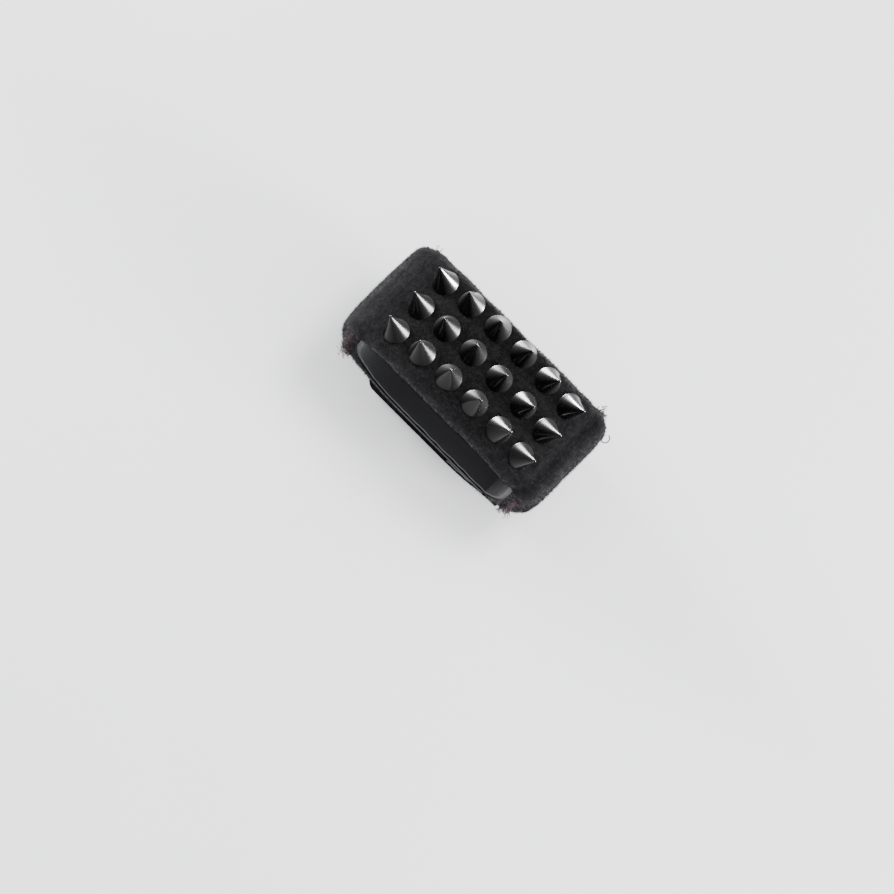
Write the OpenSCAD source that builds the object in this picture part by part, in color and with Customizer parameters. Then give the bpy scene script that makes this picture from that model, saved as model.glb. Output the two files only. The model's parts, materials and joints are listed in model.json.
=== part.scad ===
// Studded string mute: a padded velour band that wraps round a guitar neck.
// X runs across the neck (bass side negative), Y along it, Z up from the table.
// The band stands on the flap that closes it, with the studs on top.

/* [Band] */
// Width of the band along the neck
band_w = 25; // [22:0.5:36]
// Width of the neck opening, side to side
neck_w = 43.5; // [40:0.5:56]
// Height of the neck opening, strings included
neck_h = 23; // [20:0.5:28]
// Thickness of the padded side walls
wall_t = 6.5; // [5.5:0.1:8.5]
// Thickness of the pad over the edge of the neck, straight up; the dome adds to it
edge_t = 3.9; // [3.6:0.1:6]
// Radius of the domed top
crown_r = 42; // [38:1:60]
// Radius of the padded shoulders, outside
shoulder_r = 5; // [4:0.25:7]
// Radius of the lower corners, outside
corner_r = 20; // [16:0.5:21]

/* [Fabric] */
// Thickness of the velour cover
cover_t = 1.6; // [1.2:0.1:2.2]
// Thickness of the knitted lining
lining_t = 1.2; // [0.8:0.1:1.4]
// Thickness of the foam in the underlap
lap_foam_t = 2; // [1.5:0.1:3]
// Gap between fabric layers that part from each other
layer_gap = 0.3; // [0.2:0.05:0.4]

/* [Closure] */
// How far the underlap reaches past the middle of the neck
lap_reach = 9; // [6:0.5:10]
// Length of the flap's flat part, from its fold to its end
flap_len = 25.5; // [24:0.5:30]
// Length of the hook strip
hook_len = 19; // [14:0.5:19]
// Thickness of the hook strip, hooks included
hook_t = 1.4; // [1.2:0.1:1.8]
// Width of the hook strip
hook_w = 20; // [16:0.5:20]
// Thickness of the hook strip's woven base
hook_base_t = 0.6; // [0.4:0.05:0.7]
// Width of the plain edge that the hook strip is sewn down by
selvage_w = 1.6; // [1.2:0.1:2]
// How far the pull tab stands out past the flap
tab_len = 8; // [6:0.5:10]
// Length of the pull tab's ends, sewn to the flap
tab_sewn = 4; // [3:0.5:4]
// Width of the pull tab
tab_w = 16; // [12:0.5:20]
// Thickness of one layer of the pull tab's webbing
tab_t = 0.5; // [0.35:0.05:0.55]

/* [Studs] */
// Base diameter of a stud
stud_d = 5.8; // [4.5:0.1:6.2]
// Height of a stud
stud_h = 7; // [5:0.1:9]
// Height of the straight rim at a stud's base
rim_h = 0.6; // [0.4:0.1:1]
// Radius of a stud's point
point_r = 0.35; // [0.2:0.05:0.5]
// Spacing of the stud rows along the neck
row_pitch = 7.5; // [7:0.1:8.5]
// Spacing of the stud columns round the dome
column_pitch = 7.6; // [7:0.1:8]
// Shank diameter of a stud's screw
screw_d = 2.4; // [2:0.1:2.8]
// Length of thread inside a stud
thread_len = 3; // [2:0.1:3.2]
// Diameter of a screw's head
head_d = 4.8; // [4:0.1:5.2]
// Thickness of a screw's head
head_t = 0.9; // [0.7:0.1:1.2]

/* [Thread] */
// Diameter of the sewing thread
thread_d = 0.45; // [0.3:0.05:0.6]
// Length of one stitch
stitch_len = 2; // [1.5:0.1:2.4]
// Spacing of the stitches
stitch_pitch = 3; // [2.6:0.1:4]
// Distance of a seam from the edge it follows
seam_in = 1.5; // [1:0.1:2]

/* [Hidden] */
$fn = 96;
rows = 3;
columns = 6;
// clearances: round a screw's thread, and round what the foam is cut to clear
fit_gap = 0.05;
pocket_gap = 0.15;
// the slot in a screw's head
slot_w = 0.6;
slot_depth = 0.35;
// larger than the whole band, for outlines that cut it
far = 200;

// heights, from the table up
flap_top = cover_t + hook_t;
lap_z = flap_top + layer_gap;
neck_z = lap_z + cover_t + lap_foam_t + lining_t;
strings_z = neck_z + neck_h;

// side to side
half_neck = neck_w / 2;
half_w = half_neck + wall_t;
flap_x = half_w - corner_r;
flap_end_x = flap_x - flap_len;
hook_x = flap_end_x + tab_sewn + layer_gap;

// the dome stands edge_t above the edges of the neck opening
dome_z = strings_z + edge_t - sqrt(pow(crown_r, 2) - pow(half_neck, 2));

// the shoulder's arc touches both the dome and the side wall
shoulder_x = half_w - shoulder_r;
shoulder_z = dome_z + sqrt(pow(crown_r - shoulder_r, 2) - pow(shoulder_x, 2));
shoulder_a = atan2(shoulder_x, shoulder_z - dome_z);

// the seams across the band where its sides fold down, just inside the shoulders
seam_inset_a = 2;
seam_a = shoulder_a - seam_inset_a;
seam_x = crown_r * sin(seam_a);
seam_z = dome_z + crown_r * cos(seam_a);

// corner radii inside the neck opening
string_corner_r = 2;
neck_corner_r = corner_r - wall_t;
// the treble lining's outer face runs down on to the flap in one arc
fold_r = half_neck + lining_t - flap_x;
// the treble foam stops where the wall gets too thin to hold it
foam_end_x = flap_x + fold_r / 2;

// studs and their screws
stud_r = stud_d / 2;
cone_h = stud_h - point_r - rim_h;
cone_a = atan2(stud_r, cone_h) - asin(point_r / sqrt(pow(stud_r, 2) + pow(cone_h, 2)));
column_a = 180 * column_pitch / (PI * crown_r);
hole_r = screw_d / 2 + fit_gap;
// a head is flat, so its rim meets the curved cover and its middle stands off
head_seat = sqrt(pow(crown_r - cover_t, 2) - pow(head_d / 2, 2));

// stitching
stitch_r = thread_d / 2;
edge_y = band_w / 2 - seam_in;
across = floor((band_w - 2 * seam_in) / stitch_pitch);
hem_a = 180 * seam_in / (PI * crown_r);
// the treble side's edge stitches stop at this angle off +Z, short of the flap's fold
fold_stop_a = 160;

// ---- outlines in the XZ plane, drawn as 2D shapes ----

// A disc at a lower corner, cut off at height top above its centre.
module corner_disc(r, top) {
    intersection() {
        circle(r = r);
        translate([-far, top - far]) square([2 * far, far]);
    }
}

// The whole band seen end on and filled in, set in from its outer skin by d.
// base is the height of its flat underside.
module band_outline(d, base) {
    half = half_w - d;
    low = base + corner_r;
    mid = shoulder_z - shoulder_r;
    spread = tan(shoulder_a);
    intersection() {
        translate([0, dome_z]) circle(r = crown_r - d, $fn = 180);
        polygon([
            [-(mid - dome_z) * spread, mid], [(mid - dome_z) * spread, mid],
            [far * spread, dome_z + far], [-far * spread, dome_z + far]
        ]);
    }
    for (side = [-1, 1]) {
        translate([side * shoulder_x, shoulder_z]) circle(r = shoulder_r - d);
        translate([side * flap_x, low]) corner_disc(corner_r - d, shoulder_z - low);
    }
    translate([-half, low]) square([2 * half, shoulder_z - low]);
    translate([-flap_x, base + d]) square([2 * flap_x, corner_r]);
}

// A box from z0 to z1 with corners of low_r at the bottom and top_r at the top.
module rounded_box(half, z0, z1, low_r, top_r) {
    wall = z1 - top_r - z0 - low_r;
    for (side = [-1, 1]) {
        translate([side * (half - low_r), z0 + low_r]) corner_disc(low_r, wall);
        translate([side * (half - top_r), z1 - top_r]) circle(r = top_r);
    }
    translate([-half, z0 + low_r]) square([2 * half, wall]);
    translate([-(half - low_r), z0]) square([2 * (half - low_r), low_r + wall]);
    translate([-(half - top_r), z1 - 2 * top_r]) square([2 * (half - top_r), 2 * top_r]);
}

// The neck opening grown by d, down to the underlap that closes it.
module neck_outline(d) {
    rounded_box(half_neck + d, neck_z - d, strings_z + d, neck_corner_r + d, string_corner_r + d);
}

// The same opening down to the flap, which is what the treble wall curves round.
module fold_outline(d) {
    base = cover_t + lining_t - d;
    rounded_box(half_neck + d, base, strings_z + d, fold_r - lining_t + d, string_corner_r + d);
}

// The treble wall's share of the plane: past the shoulder seam and the flap's fold, less a gap.
module treble_zone(gap) {
    intersection() {
        translate([seam_x, seam_z]) rotate(-seam_a) translate([gap, -far]) square(2 * far);
        translate([flap_x + gap, -far]) square(2 * far);
    }
}

// Everything that the pad's own body leaves out: the treble wall and past the underlap's end.
module beyond_pad() {
    treble_zone(-layer_gap / 2);
    translate([lap_reach, -far]) square([far, far + neck_z + neck_corner_r]);
}

// The bass wall and the underlap: below the bass shoulder seam.
module below_bass_seam() {
    translate([-seam_x, seam_z]) rotate(seam_a)
        translate([-2 * far - layer_gap / 2, -far]) square(2 * far);
    translate([-half_neck, -far]) square([2 * half_neck, far + neck_z + neck_corner_r]);
}

// Makes an outline in XZ a solid of width w, centred on the band.
module along_neck(w) {
    translate([0, w / 2, 0]) rotate([90, 0, 0]) linear_extrude(w) children();
}

// ---- places that repeat ----

// Puts a piece on the dome, its Z pointing straight out, at angle a and height r from the centre.
module on_dome(a, y, r) {
    translate([0, y, dome_z]) rotate([0, a, 0]) translate([0, 0, r]) children();
}

// Puts a piece at every stud's place.
module at_studs(r) {
    for (row = [0 : rows - 1], column = [0 : columns - 1])
        on_dome(stud_a(column), stud_y(row), r) children();
}

function stud_a(column) = (column - (columns - 1) / 2) * column_a;
function stud_y(row) = ((rows - 1) / 2 - row) * row_pitch;

// One stitch of thread lying along X.
module stitch() {
    rotate([0, 90, 0]) cylinder(r = stitch_r, h = stitch_len, center = true, $fn = 24);
}

// Stitches down a straight line of length l, along X from the middle.
module stitch_line(l) {
    n = floor((l - stitch_len) / stitch_pitch);
    for (i = [0 : n]) translate([(i - n / 2) * stitch_pitch, 0, 0]) stitch();
}

// Stitches along both edges of a curve of radius r in XZ, from angle a0 to a1 off +Z.
module stitch_arc(x, z, r, a0, a1) {
    n = floor((a1 - a0) / 180 * PI * r / stitch_pitch);
    step = (a1 - a0) / max(n, 1);
    for (y = [-edge_y, edge_y], i = [0.5 : 1 : n - 0.5])
        translate([x, y, z]) rotate([0, a0 + i * step, 0]) translate([0, 0, r + stitch_r]) stitch();
}

// Stitches along both edges of a side wall's flat stretch, on the side that side says.
module stitch_wall(side, low) {
    length = shoulder_z - low;
    for (y = [-edge_y, edge_y])
        translate([side * (half_w + stitch_r), y, low + length / 2])
            rotate([0, 90, 0]) stitch_line(length);
}

// ---- fabric and foam ----

// Velour over the dome, down the bass side and under the neck.
module outer_cover() {
    color([0.11, 0.11, 0.12]) difference() {
        along_neck(band_w) difference() {
            band_outline(0, lap_z);
            band_outline(cover_t, lap_z);
            beyond_pad();
        }
        at_studs(crown_r - 2 * cover_t) cylinder(r = hole_r, h = 4 * cover_t);
    }
}

// Knitted lining that lies on the strings and goes round the bass side.
module lining() {
    color([0.17, 0.16, 0.18]) along_neck(band_w) difference() {
        neck_outline(lining_t);
        neck_outline(0);
        beyond_pad();
    }
}

// Foam block over the strings, pocketed for the screws' heads.
module crown_foam() {
    color([0.3, 0.3, 0.32]) difference() {
        along_neck(band_w) difference() {
            band_outline(cover_t, lap_z);
            neck_outline(lining_t);
            beyond_pad();
            below_bass_seam();
        }
        at_studs(head_seat - head_t - pocket_gap)
            cylinder(r = head_d / 2 + pocket_gap, h = head_t + cover_t);
    }
}

// Foam down the bass side and on into the underlap.
module bass_foam() {
    color([0.3, 0.3, 0.32]) along_neck(band_w) intersection() {
        difference() {
            band_outline(cover_t, lap_z);
            neck_outline(lining_t);
            beyond_pad();
        }
        translate([-layer_gap / 2, 0]) below_bass_seam();
    }
}

// Velour down the treble side, as far as the flap.
module treble_cover() {
    color([0.11, 0.11, 0.12]) along_neck(band_w) intersection() {
        difference() {
            band_outline(0, 0);
            band_outline(cover_t, 0);
        }
        treble_zone(layer_gap / 2);
    }
}

// Lining down the treble side.
module treble_lining() {
    color([0.17, 0.16, 0.18]) along_neck(band_w) intersection() {
        difference() {
            fold_outline(lining_t);
            fold_outline(0);
        }
        treble_zone(layer_gap / 2);
    }
}

// Foam down the treble side, thinned away towards the flap.
module treble_foam() {
    color([0.3, 0.3, 0.32]) along_neck(band_w) difference() {
        intersection() {
            band_outline(cover_t, 0);
            treble_zone(layer_gap / 2);
        }
        fold_outline(lining_t);
        translate([foam_end_x - far, -far]) square([far, far + corner_r]);
    }
}

// Velour flap that closes the band under the neck.
module flap_cover() {
    color([0.11, 0.11, 0.12])
        translate([flap_end_x, -band_w / 2, 0])
            cube([flap_len - layer_gap / 2, band_w, cover_t]);
}

// Hook strip sewn to the flap's inner face: a woven base with a field of hooks.
module hook_strip() {
    field_w = hook_w - 2 * selvage_w;
    color([0.2, 0.2, 0.2]) translate([hook_x, 0, cover_t]) {
        translate([0, -hook_w / 2, 0]) cube([hook_len, hook_w, hook_base_t]);
        translate([selvage_w, -field_w / 2, 0]) cube([hook_len - 2 * selvage_w, field_w, hook_t]);
    }
}

// Webbing folded double, its two ends sewn to the flap.
module pull_tab() {
    length = tab_len + tab_sewn;
    color([0.14, 0.14, 0.15])
        translate([flap_end_x + tab_sewn, 0, cover_t + tab_t])
            along_neck(tab_w) {
                translate([-length + tab_t, -tab_t]) square([length - tab_t, 2 * tab_t]);
                translate([-length + tab_t, 0]) circle(r = tab_t);
            }
}

// ---- studs ----

// One cone stud with a rounded point and a blind threaded hole.
module stud(row, column) {
    color([0.05, 0.05, 0.06]) on_dome(stud_a(column), stud_y(row), crown_r) difference() {
        union() {
            cylinder(r = stud_r, h = rim_h);
            translate([0, 0, rim_h]) cylinder(
                r1 = stud_r, r2 = point_r * cos(cone_a), h = cone_h + point_r * sin(cone_a));
            translate([0, 0, stud_h - point_r]) sphere(r = point_r, $fn = 48);
        }
        translate([0, 0, -rim_h]) cylinder(r = hole_r, h = rim_h + thread_len);
    }
}

// The screws that hold the studs, their slotted heads behind the cover.
module stud_screws() {
    reach = crown_r + thread_len - fit_gap - head_seat;
    color([0.6, 0.6, 0.62]) at_studs(head_seat) difference() {
        union() {
            translate([0, 0, -head_t]) cylinder(d = head_d, h = head_t);
            translate([0, 0, -head_t]) cylinder(d = screw_d, h = head_t + reach);
        }
        translate([-head_d, -slot_w / 2, -2 * head_t]) cube([2 * head_d, slot_w, head_t + slot_depth]);
    }
}

// ---- thread ----

// Seams across the dome at its two shoulders.
module bass_shoulder_seam() {
    color([0.08, 0.08, 0.09])
        on_dome(-seam_a + hem_a, 0, crown_r + stitch_r) rotate(90) stitch_line(2 * edge_y);
}

module treble_shoulder_seam() {
    color([0.08, 0.08, 0.09])
        on_dome(seam_a - hem_a, 0, crown_r + stitch_r) rotate(90) stitch_line(2 * edge_y);
}

// Seam that closes the underlap's end.
module underlap_seam() {
    color([0.08, 0.08, 0.09])
        translate([lap_reach - seam_in, 0, neck_z + stitch_r]) rotate(90) stitch_line(2 * edge_y);
}

module crown_edge_stitches() {
    color([0.08, 0.08, 0.09])
        stitch_arc(0, dome_z, crown_r, -seam_a + 2 * hem_a, seam_a - 2 * hem_a);
}

module bass_edge_stitches() {
    color([0.08, 0.08, 0.09]) {
        stitch_wall(-1, lap_z + corner_r);
        stitch_arc(-flap_x, lap_z + corner_r, corner_r, 180, 270);
    }
}

module treble_edge_stitches() {
    color([0.08, 0.08, 0.09]) {
        stitch_wall(1, corner_r);
        stitch_arc(flap_x, corner_r, corner_r, 90, fold_stop_a);
    }
}

// Stitches along the flap's two edges, on its inner face beside the hook strip.
module flap_edge_stitches() {
    color([0.08, 0.08, 0.09]) for (y = [-edge_y, edge_y])
        translate([flap_end_x + flap_len / 2, y, cover_t + stitch_r]) stitch_line(flap_len - 2 * seam_in);
}

// Stitches round the hook strip, on its plain edges.
module hook_strip_seam() {
    long_y = (hook_w - selvage_w) / 2;
    color([0.08, 0.08, 0.09])
        translate([hook_x + hook_len / 2, 0, cover_t + hook_base_t + stitch_r])
            for (side = [-1, 1]) {
                translate([0, side * long_y, 0]) stitch_line(hook_len - selvage_w);
                translate([side * (hook_len - selvage_w) / 2, 0, 0]) rotate(90)
                    stitch_line(hook_w - 2 * selvage_w - stitch_len);
            }
}

// Two rows of stitches that hold the pull tab's ends to the flap.
module pull_tab_seam() {
    color([0.08, 0.08, 0.09])
        for (x = [0.25, 0.75])
            translate([flap_end_x + x * tab_sewn, 0, cover_t + 2 * tab_t + stitch_r])
                rotate(90) stitch_line(tab_w);
}

outer_cover();
lining();
crown_foam();
bass_foam();
treble_cover();
treble_lining();
treble_foam();
flap_cover();
hook_strip();
pull_tab();
stud(0, 0);  // stud_a1
stud(0, 1);  // stud_a2
stud(0, 2);  // stud_a3
stud(0, 3);  // stud_a4
stud(0, 4);  // stud_a5
stud(0, 5);  // stud_a6
stud(1, 0);  // stud_b1
stud(1, 1);  // stud_b2
stud(1, 2);  // stud_b3
stud(1, 3);  // stud_b4
stud(1, 4);  // stud_b5
stud(1, 5);  // stud_b6
stud(2, 0);  // stud_c1
stud(2, 1);  // stud_c2
stud(2, 2);  // stud_c3
stud(2, 3);  // stud_c4
stud(2, 4);  // stud_c5
stud(2, 5);  // stud_c6
stud_screws();
bass_shoulder_seam();
treble_shoulder_seam();
underlap_seam();
crown_edge_stitches();
bass_edge_stitches();
treble_edge_stitches();
flap_edge_stitches();
hook_strip_seam();
pull_tab_seam();
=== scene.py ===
import json
import math
import random

import bmesh
import bpy
import numpy as np
from mathutils import Matrix, Vector, noise


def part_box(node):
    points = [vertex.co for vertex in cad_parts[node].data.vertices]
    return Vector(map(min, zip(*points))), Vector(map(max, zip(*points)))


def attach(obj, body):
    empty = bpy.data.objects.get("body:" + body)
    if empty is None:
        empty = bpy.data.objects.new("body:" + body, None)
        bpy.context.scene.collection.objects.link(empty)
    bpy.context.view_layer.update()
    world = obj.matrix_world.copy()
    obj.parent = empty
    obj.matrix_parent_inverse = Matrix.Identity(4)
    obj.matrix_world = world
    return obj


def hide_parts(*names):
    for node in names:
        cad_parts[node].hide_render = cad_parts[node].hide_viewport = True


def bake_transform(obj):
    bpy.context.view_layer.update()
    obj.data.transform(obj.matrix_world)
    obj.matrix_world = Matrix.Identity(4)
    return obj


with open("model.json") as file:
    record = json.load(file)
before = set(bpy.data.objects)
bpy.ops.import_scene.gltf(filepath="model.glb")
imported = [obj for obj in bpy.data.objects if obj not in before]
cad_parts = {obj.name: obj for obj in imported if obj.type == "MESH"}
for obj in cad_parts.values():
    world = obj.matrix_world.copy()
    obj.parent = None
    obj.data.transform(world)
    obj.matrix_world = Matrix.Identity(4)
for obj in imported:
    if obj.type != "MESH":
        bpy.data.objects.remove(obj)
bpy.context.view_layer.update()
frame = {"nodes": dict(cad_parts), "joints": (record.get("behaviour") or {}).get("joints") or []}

mm = 0.001
joints = {joint["name"]: joint for joint in frame["joints"]}


def boxMm(node):
    low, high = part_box(node)
    return np.array(low) / mm, np.array(high) / mm


def angled(degrees):
    return math.sin(math.radians(degrees)), math.cos(math.radians(degrees))


# sizes in mm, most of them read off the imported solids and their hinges
coverLow, coverHigh = boxMm("outer_cover")
flapLow, flapHigh = boxMm("flap_cover")
liningLow, liningHigh = boxMm("lining")
liningThick = 1.2
halfWide = boxMm("treble_cover")[1][0]
halfBand = coverHigh[1]
crownTop = coverHigh[2]
lapZ = coverLow[2]
coverThick = flapHigh[2]
flapEndX = flapLow[0]
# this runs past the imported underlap, since the lining also covers the crown
lapReach = liningHigh[0]
stringsZ = liningHigh[2] - liningThick
halfNeck = -liningLow[0] - liningThick
neckZ = liningLow[2] + liningThick
seamX, _, seamZ = np.array(joints["treble_side_fold"]["pos_m"]) / mm
peelX = joints["flap_peel"]["pos_m"][0] / mm
cornerR = halfWide - peelX
domeZ = (seamX ** 2 + seamZ ** 2 - crownTop ** 2) / (2 * (seamZ - crownTop))
crownR = crownTop - domeZ
shoulderR = 5.0
shoulderX = halfWide - shoulderR
shoulderZ = domeZ + math.sqrt((crownR - shoulderR) ** 2 - shoulderX ** 2)
shoulderA = math.degrees(math.atan2(shoulderX, shoulderZ - domeZ))
seamA = math.degrees(math.atan2(seamX, seamZ - domeZ))


class Wire:
    # one output of a node, with Python's signs for maths
    def __init__(self, paint, socket):
        self.paint = paint
        self.socket = socket

    def __add__(self, other):
        return self.paint.maths("ADD", self, other)

    def __radd__(self, other):
        return self.paint.maths("ADD", other, self)

    def __sub__(self, other):
        return self.paint.maths("SUBTRACT", self, other)

    def __rsub__(self, other):
        return self.paint.maths("SUBTRACT", other, self)

    def __mul__(self, other):
        return self.paint.maths("MULTIPLY", self, other)

    def __rmul__(self, other):
        return self.paint.maths("MULTIPLY", other, self)

    def clamped(self, low=0.0, high=1.0):
        lifted = self.paint.maths("MAXIMUM", self, low)
        return self.paint.maths("MINIMUM", lifted, high)


class Paint:
    # a material being built
    def __init__(self, name):
        self.material = bpy.data.materials.new(name)
        self.material.use_nodes = True
        self.tree = self.material.node_tree
        self.tree.nodes.clear()
        self.place = self.add("TexCoord", {}, {}, "Object")

    def add(self, kind, settings, sockets, output=0):
        made = self.tree.nodes.new("ShaderNode" + kind)
        for key, value in settings.items():
            setattr(made, key, value)
        for key, value in sockets.items():
            if isinstance(value, Wire):
                self.tree.links.new(value.socket, made.inputs[key])
            else:
                made.inputs[key].default_value = value
        return Wire(self, made.outputs[output])

    def maths(self, operation, first, second):
        return self.add("Math", {"operation": operation}, {0: first, 1: second})

    def mixed(self, factor, first, second):
        return self.add("Mix", {"data_type": "RGBA"}, {0: factor, 6: first, 7: second}, 2)

    def cloudy(self, size, detail=3.0, rough=0.55, place=None):
        return self.add("TexNoise", {}, {
            "Vector": place or self.place,
            "Scale": 1 / (size * mm),
            "Detail": detail,
            "Roughness": rough,
        })

    def raised(self, height, depth, strength=1.0):
        sockets = {"Height": height, "Distance": depth * mm, "Strength": strength}
        return self.add("Bump", {}, sockets, "Normal")

    def finish(self, sockets):
        skin = self.add("BsdfPrincipled", {}, sockets, "BSDF")
        output = self.tree.nodes.new("ShaderNodeOutputMaterial")
        self.tree.links.new(skin.socket, output.inputs["Surface"])
        return self.material


def shade(red, green=None, blue=None):
    return (red, red if green is None else green, red if blue is None else blue, 1.0)


def makeVelour(name, look):
    paint = Paint(name)
    blotch = paint.cloudy(look["blotch"], 2.0)
    tuft = paint.cloudy(look["tuft"], 4.0, 0.65)
    nap = paint.cloudy(look["nap"], 2.0, 0.5)
    light = (tuft - 0.36) * 2.2 + (blotch - 0.5) * 0.9 + (nap - 0.5) * 0.8
    colour = paint.mixed(light.clamped(), look["dark"], look["light"])
    height = tuft * 0.7 + nap * 0.3
    return paint.finish({
        "Base Color": colour,
        "Roughness": (0.82 + (nap - 0.5) * 0.3).clamped(),
        "Normal": paint.raised(height, look["depth"]),
        "Specular IOR Level": 0.06,
        "Sheen Weight": look["sheen"],
        "Sheen Roughness": 0.42,
        "Sheen Tint": look["tint"],
    })


def makeKnit(name, look):
    paint = Paint(name)
    wales = paint.add("TexWave", {"bands_direction": "Y", "wave_profile": "SIN"},
                      {"Vector": paint.place, "Scale": look["wales"], "Distortion": 1.2, "Detail": 1.0})
    fuzz = paint.cloudy(look["fuzz"], 3.0)
    colour = paint.mixed((wales * 0.55 + fuzz * 0.45).clamped(), look["dark"], look["light"])
    return paint.finish({
        "Base Color": colour,
        "Roughness": (0.8 + (fuzz - 0.5) * 0.3).clamped(),
        "Normal": paint.raised(wales * 0.6 + fuzz * 0.4, look["depth"]),
        "Specular IOR Level": 0.25,
        "Sheen Weight": look["sheen"],
        "Sheen Roughness": 0.5,
    })


def makeFoam(name, look):
    paint = Paint(name)
    cell = paint.add("TexVoronoi", {"feature": "SMOOTH_F1"},
                     {"Vector": paint.place, "Scale": 1 / (look["cell"] * mm)})
    colour = paint.mixed(cell.clamped(), look["dark"], look["light"])
    return paint.finish({
        "Base Color": colour,
        "Roughness": (0.85 + cell * 0.1).clamped(),
        "Normal": paint.raised(cell, look["cell"] * 0.4),
        "Specular IOR Level": 0.2,
    })


def makeGloss(name, look):
    paint = Paint(name)
    dust = paint.cloudy(look["dust"], 5.0, 0.7)
    peel = paint.cloudy(look["peel"], 1.0)
    specks = ((dust - 0.6) * 4).clamped()
    colour = paint.mixed(specks, look["body"], look["bloom"])
    return paint.finish({
        "Base Color": colour,
        "Roughness": (look["rough"] + specks * 0.12 + (peel - 0.5) * 0.03).clamped(0.02),
        "Normal": paint.raised(peel, look["ripple"]),
        "Metallic": look["metal"],
        "IOR": 1.45,
        "Specular IOR Level": look["shine"],
        "Coat Weight": look["coat"],
        "Coat Roughness": 0.27,
    })


def makeSteel(name, look):
    paint = Paint(name)
    stretch = paint.add("Mapping", {}, {"Vector": paint.place, "Scale": (1, 8, 1)}, "Vector")
    brush = paint.cloudy(look["brush"], 3.0, 0.6, stretch)
    return paint.finish({
        "Base Color": paint.mixed(brush, look["dark"], look["light"]),
        "Roughness": (0.24 + brush * 0.2).clamped(),
        "Normal": paint.raised(brush, 0.01),
        "Metallic": 1.0,
    })


def makeYarn(name, look):
    paint = Paint(name)
    ply = paint.cloudy(look["ply"], 2.0)
    return paint.finish({
        "Base Color": paint.mixed(((ply - 0.3) * 2).clamped(), look["dark"], look["light"]),
        "Roughness": (0.6 + ply * 0.25).clamped(),
        "Normal": paint.raised(ply, look["depth"]),
        "Specular IOR Level": 0.08,
        "Sheen Weight": look["sheen"],
        "Sheen Roughness": 0.4,
    })


def makeWeave(name, look):
    paint = Paint(name)
    warp = paint.add("TexWave", {"bands_direction": "Y"},
                     {"Vector": paint.place, "Scale": look["warp"], "Distortion": 0.4})
    weft = paint.add("TexWave", {"bands_direction": "X"},
                     {"Vector": paint.place, "Scale": look["weft"], "Distortion": 0.6})
    fuzz = paint.cloudy(0.5, 3.0)
    weave = warp * 0.5 + weft * 0.3 + fuzz * 0.2
    return paint.finish({
        "Base Color": paint.mixed(weave.clamped(), look["dark"], look["light"]),
        "Roughness": (0.55 + fuzz * 0.3).clamped(),
        "Normal": paint.raised(weave, look["depth"]),
        "Specular IOR Level": 0.3,
        "Sheen Weight": 0.2,
        "Sheen Roughness": 0.4,
    })


velour = makeVelour("black_velour", {
    "dark": shade(0.0015, 0.0015, 0.0017),
    "light": shade(0.0135, 0.0128, 0.0135),
    "tint": shade(0.9, 0.86, 0.95),
    "sheen": 0.15,
    "blotch": 5.0,
    "tuft": 0.9,
    "nap": 0.28,
    "depth": 0.35,
})
pileShade = makeYarn("velour_pile_fibre", {
    "dark": shade(0.002, 0.002, 0.0024),
    "light": shade(0.022, 0.0208, 0.022),
    "ply": 0.8,
    "depth": 0.02,
    "sheen": 0.12,
})
knit = makeKnit("charcoal_lining_knit", {
    "dark": shade(0.008, 0.008, 0.009),
    "light": shade(0.022, 0.021, 0.024),
    "wales": 900.0,
    "fuzz": 0.5,
    "depth": 0.08,
    "sheen": 0.15,
})
foamGrey = makeFoam("grey_foam", {"cell": 0.7, "dark": shade(0.04), "light": shade(0.13, 0.13, 0.14)})
studBlack = makeGloss("gloss_black_stud", {
    "body": shade(0.0012),
    "bloom": shade(0.006),
    "rough": 0.11,
    "dust": 0.9,
    "peel": 1.4,
    "ripple": 0.012,
    "metal": 0.0,
    "coat": 0.13,
    "shine": 0.06,
})
steel = makeSteel("zinc_plated_screw", {
    "brush": 0.5,
    "dark": shade(0.35, 0.35, 0.37),
    "light": shade(0.68, 0.68, 0.7),
})
threadBlack = makeYarn("black_sewing_thread", {
    "dark": shade(0.003),
    "light": shade(0.014, 0.014, 0.016),
    "ply": 0.3,
    "depth": 0.05,
    "sheen": 0.1,
})
frayYarn = makeYarn("plum_fray_yarn", {
    "dark": shade(0.014, 0.008, 0.01),
    "light": shade(0.075, 0.042, 0.05),
    "ply": 0.5,
    "depth": 0.04,
    "sheen": 0.3,
})
hookTape = makeWeave("black_hook_tape", {
    "dark": shade(0.008),
    "light": shade(0.05, 0.05, 0.054),
    "warp": 520.0,
    "weft": 520.0,
    "depth": 0.08,
})
hookNylon = makeGloss("nylon_hook", {
    "body": shade(0.02, 0.02, 0.022),
    "bloom": shade(0.05),
    "rough": 0.3,
    "dust": 0.4,
    "peel": 0.6,
    "ripple": 0.01,
    "metal": 0.0,
    "coat": 0.1,
    "shine": 0.5,
})
webbing = makeWeave("black_webbing", {
    "dark": shade(0.006),
    "light": shade(0.05, 0.05, 0.053),
    "warp": 300.0,
    "weft": 900.0,
    "depth": 0.12,
})
print("materials made")


def addPiece(name, points, faces, material, sharp=50, flip=False):
    mesh = bpy.data.meshes.new(name)
    mesh.from_pydata((np.asarray(points) * mm).tolist(), [], faces)
    if flip:
        tidy = bmesh.new()
        tidy.from_mesh(mesh)
        bmesh.ops.recalc_face_normals(tidy, faces=tidy.faces)
        tidy.to_mesh(mesh)
        tidy.free()
    mesh.shade_smooth()
    mesh.set_sharp_from_angle(angle=math.radians(sharp))
    mesh.materials.append(material)
    piece = bpy.data.objects.new(name, mesh)
    bpy.context.scene.collection.objects.link(piece)
    return piece


# how the outer skin and the neck face run round the band, bass underlap to flap
def line(start, end, count):
    return [(start[0] + (end[0] - start[0]) * k / count, start[1] + (end[1] - start[1]) * k / count)
            for k in range(count + 1)]


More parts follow.
